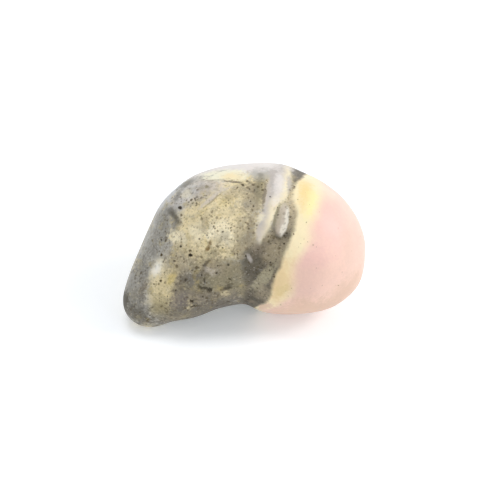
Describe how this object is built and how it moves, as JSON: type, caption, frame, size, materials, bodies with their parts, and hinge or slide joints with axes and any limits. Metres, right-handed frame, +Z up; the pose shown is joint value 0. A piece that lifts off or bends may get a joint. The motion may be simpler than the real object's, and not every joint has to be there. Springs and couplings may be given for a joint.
{
  "type": "tumbled manganoan calcite stone",
  "caption": "Bean-shaped tumbled stone with a round pink end, a cream band and a speckled grey end, lying on its worn underside.",
  "frame": {"origin": "middle of the stone's box, on the surface that it lies on", "axes": "+X along the stone's length towards its round pink end, +Z up, -Y towards the side that the waist is on"},
  "size_m": [0.0298, 0.0202, 0.0165],
  "materials": {
    "stone": "satin tumble polish, slightly translucent, banded grey, cream and pale pink with fine dark specks"
  },
  "bodies": {
    "root": {"stone": "stone"}
  },
  "joints": []
}
